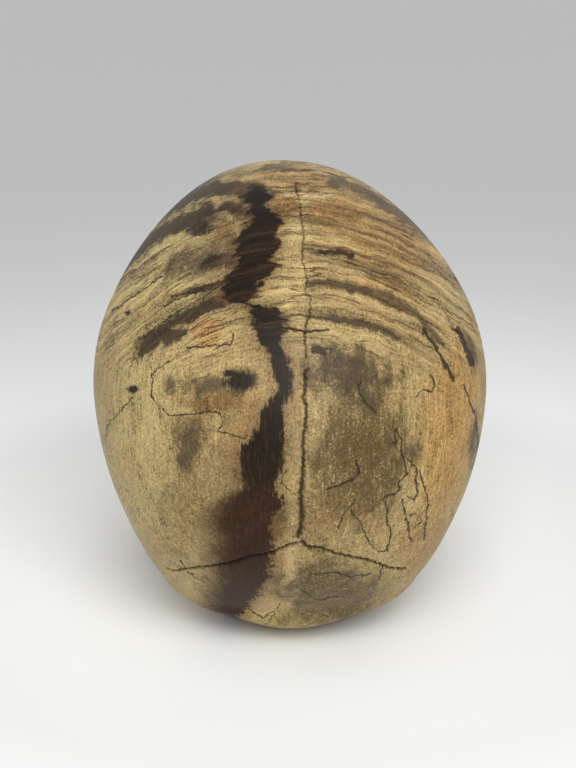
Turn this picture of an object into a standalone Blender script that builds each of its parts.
"""A life-size human skull carved in wood: a cranium and a lower jaw, hinged together on two pins.

Each piece is first shaped upright, in the skull's own frame: X to the skull's left, -Y forward, Z up, with
the ear holes level with Z = 0. The whole skull then leans back until its occiput and its jaw angles touch
the table, as a skull does when it is set down.
"""

import math

import bmesh
import bpy
from mathutils import Euler, Matrix, Vector

# Driving sizes of the skull, in metres
cranial_breadth = 0.146
cranial_length = 0.172
auricular_height = 0.117
vault_floor = 0.027
cheek_breadth = 0.130
face_reach = 0.088
face_height = 0.070
chin_drop = 0.098

# Sizes of single features
rim_thickness = 0.0092
arch_thickness = 0.0066
arch_height = 0.0110
orbit_width = 0.039
orbit_height = 0.034
orbit_depth = 0.044
nasal_width = 0.024
nasal_height = 0.033
nasal_depth = 0.030
foramen_width = 0.030
foramen_length = 0.036
foramen_depth = 0.020
ear_hole_radius = 0.0045
ear_hole_depth = 0.012

# Teeth
bite_drop = 0.053
bite_gap = 0.0008
incisor_width = 0.0085
tooth_gap = 0.0004
upper_crown_length = 0.0088
lower_crown_length = 0.0080
root_length = 0.006
tooth_thickness = 0.0074
tooth_chamfer = 0.0010
tooth_row_half_width = 0.0285
tooth_row_depth = 0.044
tooth_row_start = 0.038
overjet = 0.0026
gum_thickness = 0.0118
gum_tail = 0.006

# Jaw
jaw_plate_thickness = 0.0080
jaw_body_thickness = 0.0125
jaw_body_height = 0.0270
condyle_length = 0.019
condyle_radius = 0.0052
hinge_spacing = 0.098
hinge_forward = 0.014
hinge_drop = 0.0075
socket_clearance = 0.0012

# Hinge pins
pin_radius = 0.0018
pin_clearance = 0.0003
pin_length = 0.032
pin_chamfer = 0.0005
pin_head_radius = 0.0034
pin_head_length = 0.0020
pin_head_gap = 0.0004

# How finely the forms are blended and how many faces are kept, and how deep the feet are sanded flat
core_grain = 0.0024
fine_grain = 0.0018
foot_depth = 0.0010
overrun = 0.020
kept_cranium_faces_share = 0.06
kept_jaw_faces_share = 0.09

vault_span = (cranial_breadth, cranial_length, auricular_height)
face_span = (cheek_breadth, face_reach, face_height)
jaw_span = (cheek_breadth, face_reach - hinge_forward, chin_drop - hinge_drop)

spalted_wood = ("spalted_wood", (0.50, 0.40, 0.25, 1.0), 0.45, 0.0)
dark_wood = ("dark_wood", (0.10, 0.06, 0.04, 1.0), 0.40, 0.0)


def at(shares, span):
    """A point given as shares of a span: to the side, forward and up."""
    return Vector((shares[0] * span[0], -shares[1] * span[1], shares[2] * span[2]))


def jaw_at(shares):
    """A point of the jaw, measured forward and down from the hinge."""
    return at(shares, jaw_span) + Vector((0, -hinge_forward, -hinge_drop))


def sides_of(side_share):
    return (1, -1) if side_share else (1,)


def add_ball(bm, centre, radii, turn=(0, 0, 0), side=1, rings=20):
    """An ellipsoid, turned by degrees about X, Y and Z, and mirrored to the other side where side is -1."""
    angles = Euler([math.radians(a) for a in turn])
    matrix = Matrix.LocRotScale(centre, angles, Vector(radii))
    if side < 0:
        matrix = Matrix.Scale(-1, 4, (1, 0, 0)) @ matrix
    bmesh.ops.create_uvsphere(bm, u_segments=2 * rings, v_segments=rings, radius=1, matrix=matrix)


def add_balls(bm, rows, span):
    """Rows of centre shares, radius shares and turn in degrees, made on both sides if off the middle."""
    for centre, radii, turn in rows:
        for side in sides_of(centre[0]):
            size = [share * length for share, length in zip(radii, span)]
            add_ball(bm, at(centre, span), size, turn, side)


def add_rings(bm, rings):
    """A closed skin through rings of points that have as many points each."""
    loops = [[bm.verts.new(point) for point in ring] for ring in rings]
    for first, second in zip(loops, loops[1:]):
        for k in range(len(first)):
            bm.faces.new((first[k], first[k - 1], second[k - 1], second[k]))
    bm.faces.new(loops[0])
    bm.faces.new(reversed(loops[-1]))


def add_band(bm, points, widths, heights, across=(0, 0, 1), sides=16):
    """A bar with an elliptic section: its widths lie square to the path and to the across direction."""
    rings = []
    for i, point in enumerate(points):
        path = (points[min(i + 1, len(points) - 1)] - points[max(i - 1, 0)]).normalized()
        wide = path.cross(Vector(across)).normalized()
        tall = wide.cross(path)
        angles = [2 * math.pi * k / sides for k in range(sides)]
        rings.append([point + wide * (widths[i] * math.cos(a)) + tall * (heights[i] * math.sin(a))
                      for a in angles])
    add_rings(bm, rings)


def smooth_path(points, steps=4):
    """Points of a Catmull-Rom curve through the given points."""
    ends = [2 * points[0] - points[1]] + list(points) + [2 * points[-1] - points[-2]]
    found = []
    for a, b, c, d in zip(ends, ends[1:], ends[2:], ends[3:]):
        for k in range(steps):
            t = k / steps
            found.append(0.5 * (2 * b + (c - a) * t + (2 * a - 5 * b + 4 * c - d) * t**2
                                + (3 * b - a - 3 * c + d) * t**3))
    return found + [points[-1]]


def smooth_shares(shares):
    """The same curve through single numbers."""
    return [v.x for v in smooth_path([Vector((share, 0, 0)) for share in shares])]


def add_ridge(bm, path_shares, thick_shares, width, height, across=(0, 0, 1)):
    """A smooth band along a path of face shares, on both sides where the path leaves the middle."""
    points = smooth_path([at(share, face_span) for share in path_shares])
    thick = smooth_shares(thick_shares)
    for side in sides_of(max(share[0] for share in path_shares)):
        mirrored = [Vector((side * p.x, p.y, p.z)) for p in points]
        add_band(bm, mirrored, [t * width / 2 for t in thick], [t * height / 2 for t in thick], across)


def mesh_of(name, build, base=None):
    """A mesh that a function adds to, with its faces turned outwards."""
    bm = bmesh.new()
    if base:
        bm.from_mesh(base)
    build(bm)
    bmesh.ops.recalc_face_normals(bm, faces=bm.faces)
    mesh = bpy.data.meshes.new(name)
    bm.to_mesh(mesh)
    bm.free()
    return mesh


def add_object(name, mesh, parent=None):
    obj = bpy.data.objects.new(name, mesh)
    obj.parent = parent
    bpy.context.scene.collection.objects.link(obj)
    return obj


def add_helper(name, mesh, parent=None):
    """A cutter or a rough form, which isn't a piece of the skull."""
    obj = add_object(name, mesh, parent)
    obj.hide_render = True
    obj.display_type = "WIRE"
    return obj


def paint(obj, name, colour, roughness, metallic):
    found = bpy.data.materials.get(name) or bpy.data.materials.new(name)
    found.use_nodes = True
    shader = found.node_tree.nodes["Principled BSDF"]
    shader.inputs["Base Color"].default_value = colour
    shader.inputs["Roughness"].default_value = roughness
    shader.inputs["Metallic"].default_value = metallic
    obj.data.materials.clear()
    obj.data.materials.append(found)


def blend(obj, name, grain, passes):
    """Fuses whatever overlaps in the mesh and softens the joins."""
    fuse = obj.modifiers.new(name + "_fuse", "REMESH")
    fuse.mode = "VOXEL"
    fuse.voxel_size = grain
    soften = obj.modifiers.new(name + "_soften", "SMOOTH")
    soften.factor = 0.5
    soften.iterations = passes


def combine(obj, other, operation):
    step = obj.modifiers.new(other.name, "BOOLEAN")
    step.operation = operation
    step.solver = "EXACT"
    step.object = other
    step.use_self = operation == "UNION"


def thin_out(obj, ratio):
    step = obj.modifiers.new("thin_out", "DECIMATE")
    step.ratio = ratio


def settle(obj):
    """Makes what the object's modifiers give its own mesh."""
    graph = bpy.context.evaluated_depsgraph_get()
    mesh = bpy.data.meshes.new_from_object(obj.evaluated_get(graph))
    obj.modifiers.clear()
    obj.data = mesh


# The brain case. Each push moves the surface near a centre by an offset, fading out at its reach.
vault_push_shares = (
    ((0.42, -0.16, 0.66), (0.022, -0.005, 0.020), 0.30),
    ((0.38, 0.36, 0.28), (-0.040, 0.000, 0.000), 0.22),
    ((0.26, -0.42, 0.16), (0.055, -0.020, -0.040), 0.42),
    ((0.16, -0.34, -0.14), (0.020, -0.030, -0.070), 0.34),
)

# Brow, orbit walls, cheeks, upper jaw, skull base, mastoids and ear roots, in shares of the face
core_ball_shares = (
    ((0.000, 0.783, 0.47), (0.345, 0.225, 0.31), (0, 0, 0)),
    ((0.000, 0.520, 0.11), (0.340, 0.390, 0.46), (0, 0, 0)),
    ((0.330, 0.660, 0.17), (0.065, 0.200, 0.36), (0, 0, -28)),
    ((0.000, 0.650, -0.24), (0.255, 0.290, 0.40), (0, 0, 0)),
    ((0.350, 0.670, -0.18), (0.090, 0.165, 0.21), (0, 0, -30)),
    ((0.000, 0.100, -0.16), (0.320, 0.430, 0.25), (0, 0, 0)),
    ((0.000, -0.400, -0.04), (0.350, 0.440, 0.34), (0, 0, 0)),
    ((0.395, -0.150, -0.14), (0.083, 0.150, 0.32), (10, 0, 0)),
    ((0.420, -0.010, 0.10), (0.062, 0.200, 0.12), (0, 0, 0)),
    ((0.262, 0.150, -0.08), (0.085, 0.120, 0.17), (0, 0, 0)),
    ((0.400, 0.290, -0.03), (0.085, 0.060, 0.09), (0, 0, 0)),
    ((0.105, 0.420, -0.50), (0.030, 0.120, 0.24), (0, 0, 0)),
    ((0.000, -0.900, 0.05), (0.110, 0.060, 0.10), (0, 0, 0)),
)

brow_path_shares = ((0.00, 0.975, 0.50), (0.10, 0.995, 0.53), (0.24, 0.940, 0.54), (0.355, 0.815, 0.42),
                    (0.402, 0.735, 0.17), (0.385, 0.740, -0.06))
brow_thick_shares = (1.00, 1.10, 0.95, 1.00, 0.95, 1.10)
lower_rim_path_shares = ((0.385, 0.730, -0.12), (0.300, 0.820, -0.13), (0.195, 0.885, -0.09),
                         (0.120, 0.920, 0.04))
lower_rim_thick_shares = (1.10, 1.00, 0.90, 0.85)
nose_side_path_shares = ((0.080, 0.955, 0.36), (0.100, 0.930, 0.12), (0.124, 0.890, -0.14),
                         (0.130, 0.860, -0.40))
nose_side_thick_shares = (0.75, 0.85, 0.95, 1.00)
nose_bridge_path_shares = ((0.000, 0.970, 0.44), (0.000, 0.975, 0.28), (0.000, 1.035, 0.09))
nose_bridge_thick_shares = (1.25, 1.05, 1.00)
arch_path_shares = ((0.400, 0.660, -0.18), (0.455, 0.530, -0.16), (0.494, 0.360, -0.10),
                    (0.492, 0.200, -0.03), (0.462, 0.070, 0.05), (0.430, -0.060, 0.12))
arch_thick_shares = (1.35, 1.10, 0.95, 0.95, 1.10, 1.20)
gum_root_share = -0.32

# Hollows. Each orbit runs back and inwards from its rim.
orbit_centre_shares = (0.236, 0.850, 0.215)
orbit_turn = (0, 0, 24)
nose_hole_shares = (
    ((0.0, 0.900, -0.20), (0.50, 1.0, 0.48)),
    ((0.0, 0.930, -0.03), (0.28, 1.0, 0.54)),
)
palate_shares = ((0.0, 0.560, -0.74), (0.165, 0.330, 0.20))
foramen_centre_shares = (0.0, -0.215, -0.40)

# Teeth from the middle of the row to its end: widths, thicknesses at the neck and at the biting edge
upper_width_shares = (1.00, 0.78, 0.90, 0.82, 0.80, 1.20, 1.12)
lower_width_shares = (0.64, 0.70, 0.82, 0.82, 0.84, 1.28, 1.24)
upper_neck_shares = (0.95, 0.90, 1.10, 1.20, 1.25, 1.50, 1.50)
lower_neck_shares = (0.80, 0.85, 1.05, 1.10, 1.15, 1.40, 1.40)
edge_thickness_shares = (0.50, 0.50, 0.62, 0.86, 0.90, 0.94, 0.94)
neck_width_share = 0.86
gum_steps = 12

# Lower jaw: its body from the chin to the angle, then the outline of its upright plate
body_path_shares = ((0.000, 0.815, -0.800), (0.092, 0.795, -0.800), (0.166, 0.708, -0.796),
                    (0.226, 0.540, -0.760), (0.282, 0.350, -0.705), (0.330, 0.150, -0.648),
                    (0.362, -0.005, -0.583))
body_thick_shares = (1.00, 0.98, 0.96, 0.94, 0.92, 0.85, 0.62)
body_tall_shares = (1.24, 1.22, 1.14, 1.00, 0.96, 0.93, 0.78)
chin_shares = ((0.0, 0.850, -0.900), (0.130, 0.075, 0.085))
plate_outline_shares = ((-0.100, -0.655), (-0.165, -0.590), (-0.180, -0.500), (-0.160, -0.370),
                        (-0.125, -0.240), (-0.090, -0.110), (-0.070, -0.010), (0.070, -0.010),
                        (0.110, -0.085), (0.200, -0.130), (0.275, -0.085), (0.330, 0.030),
                        (0.385, 0.010), (0.365, -0.120), (0.320, -0.270), (0.300, -0.400),
                        (0.315, -0.500), (0.340, -0.600), (0.250, -0.700), (0.080, -0.720))
plate_edge_share = 0.30
plate_foot_share = 0.372
plate_flare_share = 0.36


def row_walk(distance):
    """The angle along a tooth row at which its middle line is a distance from the front."""
    steps = 400
    walked = 0.0
    angle = 0.0
    while walked < distance and angle < math.pi / 2:
        step = math.pi / 2 / steps
        walked += step * math.hypot(tooth_row_half_width * math.cos(angle),
                                    tooth_row_depth * math.sin(angle))
        angle += step
    return angle


def row_point(angle, inset, height):
    """A point of a tooth row, set in from the upper one: at the front where the angle is zero."""
    side = (tooth_row_half_width - inset) * math.sin(angle)
    forward = tooth_row_start - inset + tooth_row_depth * math.cos(angle)
    return Vector((side, -forward, height))


def add_gum(bm, inset, neck, root):
    """The ridge of bone that carries a row of teeth, from their necks to a height at their roots."""
    middle = (neck + root) / 2
    points = [row_point(math.pi / 2 * i / gum_steps, inset, middle)
              for i in range(-gum_steps, gum_steps + 1)]
    tail = Vector((0, gum_tail, 0))
    points = [points[0] + tail] + points + [points[-1] + tail]
    add_band(bm, points, [gum_thickness / 2] * len(points), [abs(neck - root) / 2] * len(points))


def add_tooth(bm, matrix, width, neck, edge, tall):
    """A tapered block: wide and thin at its biting edge, narrow and thick at its neck."""
    corners = ((1, 1), (-1, 1), (-1, -1), (1, -1))
    rings = []
    for level, wide, deep in ((-1, width, edge), (1, width * neck_width_share, neck)):
        rings.append([matrix @ (Vector((x * wide, y * deep, level * tall)) / 2) for x, y in corners])
    add_rings(bm, rings)


def build_teeth(widths, necks, inset, edge, direction, crown):
    """Blocks along the tooth row. Each runs from its biting edge into the gum."""
    def build(bm):
        tall = crown + root_length
        walked = 0.0
        for width_share, neck_share, edge_share in zip(widths, necks, edge_thickness_shares):
            width = width_share * incisor_width
            angle = row_walk(walked + width / 2)
            walked += width
            point = row_point(angle, inset, edge + direction * tall / 2)
            outward = Vector((math.sin(angle) / tooth_row_half_width, math.cos(angle) / tooth_row_depth))
            for side in (1, -1):
                middle = Vector((side * point.x, point.y, point.z))
                turn = Matrix.Rotation(side * math.atan2(outward.x, outward.y), 4, "Z")
                stand = Matrix.Diagonal((1, 1, direction, 1))
                neck = neck_share * tooth_thickness
                add_tooth(bm, Matrix.Translation(middle) @ turn @ stand, width - tooth_gap, neck,
                          neck * edge_share, tall)
        bmesh.ops.bevel(bm, geom=list(bm.edges), offset=tooth_chamfer, segments=1, affect="EDGES")
    return build


def build_core(bm):
    """The brain case, an ellipsoid shaped by pushes, with the masses of the face and of the skull base."""
    height = auricular_height + vault_floor
    centre = Vector((0, 0, height / 2 - vault_floor))
    add_ball(bm, centre, Vector((cranial_breadth, cranial_length, height)) / 2, rings=56)
    for where, push, reach in vault_push_shares:
        for side in sides_of(where[0]):
            mirror = Vector((side, 1, 1))
            middle = at(where, vault_span) * mirror
            offset = at(push, vault_span) * mirror
            for vert in bm.verts:
                gap = (vert.co - middle).length / (reach * cranial_length)
                if gap < 1:
                    vert.co += offset * (1 - gap * gap) ** 2
    add_balls(bm, core_ball_shares, face_span)


def build_ridges(bm):
    rim = (rim_thickness, rim_thickness)
    forward = (0, 1, 0)
    add_ridge(bm, brow_path_shares, brow_thick_shares, *rim, forward)
    add_ridge(bm, lower_rim_path_shares, lower_rim_thick_shares, *rim)
    add_ridge(bm, nose_side_path_shares, nose_side_thick_shares, *rim, forward)
    add_ridge(bm, nose_bridge_path_shares, nose_bridge_thick_shares, *rim, forward)
    add_ridge(bm, arch_path_shares, arch_thick_shares, arch_thickness, arch_height)
    neck = bite_gap / 2 - bite_drop + upper_crown_length
    add_gum(bm, 0, neck, gum_root_share * face_height)


def build_hollows(bm):
    for side in (1, -1):
        add_ball(bm, at(orbit_centre_shares, face_span), (orbit_width / 2, orbit_depth, orbit_height / 2),
                 orbit_turn, side)
    centre, radii = palate_shares
    add_ball(bm, at(centre, face_span), [share * length for share, length in zip(radii, face_span)])


def build_nose_hole(bm):
    for centre, radii in nose_hole_shares:
        size = (radii[0] * nasal_width, radii[1] * nasal_depth, radii[2] * nasal_height)
        add_ball(bm, at(centre, face_span), size)


def add_rod(bm, stations, sides=24):
    """A round bar along the hinge line, through stations of how far out it is and its radius there."""
    rings = []
    for out, radius in stations:
        angles = [2 * math.pi * k / sides for k in range(sides)]
        rings.append([Vector((out, radius * math.cos(a) - hinge_forward, radius * math.sin(a) - hinge_drop))
                      for a in angles])
    add_rings(bm, rings)


def socket_inner():
    return hinge_spacing / 2 - condyle_length / 2 - socket_clearance


def pin_head_start():
    return hinge_spacing / 2 + condyle_length / 2 + pin_head_gap


def pin_inner():
    return pin_head_start() - pin_length


def build_sockets(bm):
    """The round hollow that each condyle turns in, the ear holes and the hole under the skull."""
    for side in (1, -1):
        radius = condyle_radius + socket_clearance
        outside = pin_head_start() + overrun
        add_rod(bm, ((side * socket_inner(), radius), (side * outside, radius)), 32)
        ear = Matrix.Translation((side * cheek_breadth / 2, 0, 0)) @ Matrix.Rotation(math.pi / 2, 4, "Y")
        bmesh.ops.create_cone(bm, cap_ends=True, segments=20, radius1=ear_hole_radius,
                              radius2=ear_hole_radius, depth=2 * ear_hole_depth, matrix=ear)
    size = (foramen_width / 2, foramen_length / 2, foramen_depth)
    add_ball(bm, at(foramen_centre_shares, face_span), size)


def build_pin_holes(bm):
    """The bores of the two pins, through the condyles and on into the skull base."""
    radius = pin_radius + pin_clearance
    inside = pin_inner() - pin_clearance
    outside = pin_head_start() + overrun
    for side in (1, -1):
        add_rod(bm, ((side * inside, radius), (side * outside, radius)))


def build_pin(side):
    """A turned pin: a chamfered shaft and a rounded head that keeps the condyle on."""
    def build(bm):
        start = pin_inner()
        seat = pin_head_start()
        end = seat + pin_head_length
        profile = ((start, pin_radius - pin_chamfer), (start + pin_chamfer, pin_radius), (seat, pin_radius),
                   (seat, pin_head_radius), (end - pin_chamfer, pin_head_radius),
                   (end, pin_head_radius - pin_chamfer))
        add_rod(bm, [(side * out, radius) for out, radius in profile])
    return build


def plate_side(forward, level):
    """How far out the jaw's upright plate lies. Low at its front it turns inwards, to run into the body."""
    foot = plate_foot_share * cheek_breadth
    flare = plate_flare_share * max(forward, 0) * max(-level, 0) * cheek_breadth
    return foot + (hinge_spacing / 2 - foot) * (1 + level) - flare


def add_plate(bm, side):
    """The upright plate of the jaw, with a thinner edge all round."""
    outline = [jaw_at((0, *share)) + Vector((side * plate_side(*share), 0, 0))
               for share in plate_outline_shares]
    middle = sum(outline, Vector()) / len(outline)
    edge = plate_edge_share * jaw_plate_thickness / 2
    rings = []
    for out, inset in ((-1, 1), (-plate_edge_share, 0), (plate_edge_share, 0), (1, 1)):
        half = Vector((out * jaw_plate_thickness / 2, 0, 0))
        rings.append([point + half + (middle - point).normalized() * edge * inset for point in outline])
    add_rings(bm, rings)


def build_jaw(bm):
    path = smooth_path([jaw_at(share) for share in body_path_shares])
    widths = [t * jaw_body_thickness / 2 for t in smooth_shares(body_thick_shares)]
    heights = [t * jaw_body_height / 2 for t in smooth_shares(body_tall_shares)]
    points = [Vector((-p.x, p.y, p.z)) for p in path[:0:-1]] + path
    add_band(bm, points, widths[:0:-1] + widths, heights[:0:-1] + heights)
    neck = -bite_gap / 2 - bite_drop - lower_crown_length
    add_gum(bm, overjet, neck, path[0].z)
    centre, radii = chin_shares
    add_ball(bm, jaw_at(centre), [share * length for share, length in zip(radii, jaw_span)])
    for side in (1, -1):
        add_plate(bm, side)
        condyle = Vector((side * hinge_spacing / 2, -hinge_forward, -hinge_drop))
        add_ball(bm, condyle, (condyle_length / 2, condyle_radius, condyle_radius))


def make_cranium():
    cranium = add_object("cranium", mesh_of("core", build_core))
    blend(cranium, "core", core_grain, 20)
    settle(cranium)
    cranium.data = mesh_of("cranium", build_ridges, cranium.data)
    blend(cranium, "face", fine_grain, 5)
    nose = add_helper("nose_hole", mesh_of("nose_hole", build_nose_hole))
    blend(nose, "nose", fine_grain / 2, 2)
    combine(cranium, add_helper("hollows", mesh_of("hollows", build_hollows)), "DIFFERENCE")
    combine(cranium, nose, "DIFFERENCE")
    combine(cranium, add_helper("sockets", mesh_of("sockets", build_sockets)), "DIFFERENCE")
    blend(cranium, "carved", fine_grain, 3)
    thin_out(cranium, kept_cranium_faces_share)
    teeth = build_teeth(upper_width_shares, upper_neck_shares, 0, bite_gap / 2 - bite_drop, 1,
                        upper_crown_length)
    combine(cranium, add_helper("upper_teeth", mesh_of("upper_teeth", teeth)), "UNION")
    settle(cranium)
    paint(cranium, *spalted_wood)
    return cranium


def make_jaw():
    jaw = add_object("mandible", mesh_of("mandible", build_jaw))
    blend(jaw, "jaw", fine_grain, 9)
    thin_out(jaw, kept_jaw_faces_share)
    teeth = build_teeth(lower_width_shares, lower_neck_shares, overjet, -bite_gap / 2 - bite_drop, -1,
                        lower_crown_length)
    combine(jaw, add_helper("lower_teeth", mesh_of("lower_teeth", teeth)), "UNION")
    settle(jaw)
    paint(jaw, *spalted_wood)
    return jaw


def lowest(obj, lean):
    """The lowest point of an upright piece once it leans back by an angle."""
    return min(v.co.z * math.cos(lean) - v.co.y * math.sin(lean) for v in obj.data.vertices)


def find_lean(cranium, jaw):
    """The angle at which the skull rests on its occiput and its jaw at once."""
    low, high = 0.0, math.pi / 2
    for _ in range(40):
        middle = (low + high) / 2
        if lowest(cranium, middle) > lowest(jaw, middle):
            low = middle
        else:
            high = middle
    return low


def place(stand, pieces):
    """Sets the skull down with its feet a little below the table, over the middle of its box."""
    points = [stand.matrix_world @ v.co for piece in pieces for v in piece.data.vertices]
    lows = [min(p[i] for p in points) for i in range(3)]
    highs = [max(p[i] for p in points) for i in range(3)]
    stand.location = (-(lows[0] + highs[0]) / 2, -(lows[1] + highs[1]) / 2, -lows[2] - foot_depth)


def build_table(bm):
    """The wood below the feet, which the last cut takes away."""
    wide = Matrix.Diagonal((2 * cranial_length, 2 * cranial_length, overrun, 1))
    bmesh.ops.create_cube(bm, size=1, matrix=Matrix.Translation((0, 0, -overrun / 2)) @ wide)


def main():
    for obj in list(bpy.data.objects):
        bpy.data.objects.remove(obj)

    cranium = make_cranium()
    jaw = make_jaw()
    stand = add_object("lean", None)
    stand.rotation_euler.x = -find_lean(cranium, jaw)
    hinge = add_object("jaw_hinge", None, stand)
    hinge.location = (0, -hinge_forward, -hinge_drop)
    bpy.context.view_layer.update()
    place(stand, (cranium, jaw))
    cranium.parent = stand
    jaw.parent = hinge
    jaw.location = -hinge.location

    for name, side in (("left_jaw_pin", 1), ("right_jaw_pin", -1)):
        paint(add_object(name, mesh_of(name, build_pin(side)), stand), *dark_wood)
    pin_holes = add_helper("pin_holes", mesh_of("pin_holes", build_pin_holes), stand)
    table = add_helper("table_cut", mesh_of("table_cut", build_table))
    for piece in (cranium, jaw):
        combine(piece, pin_holes, "DIFFERENCE")
        combine(piece, table, "DIFFERENCE")


main()
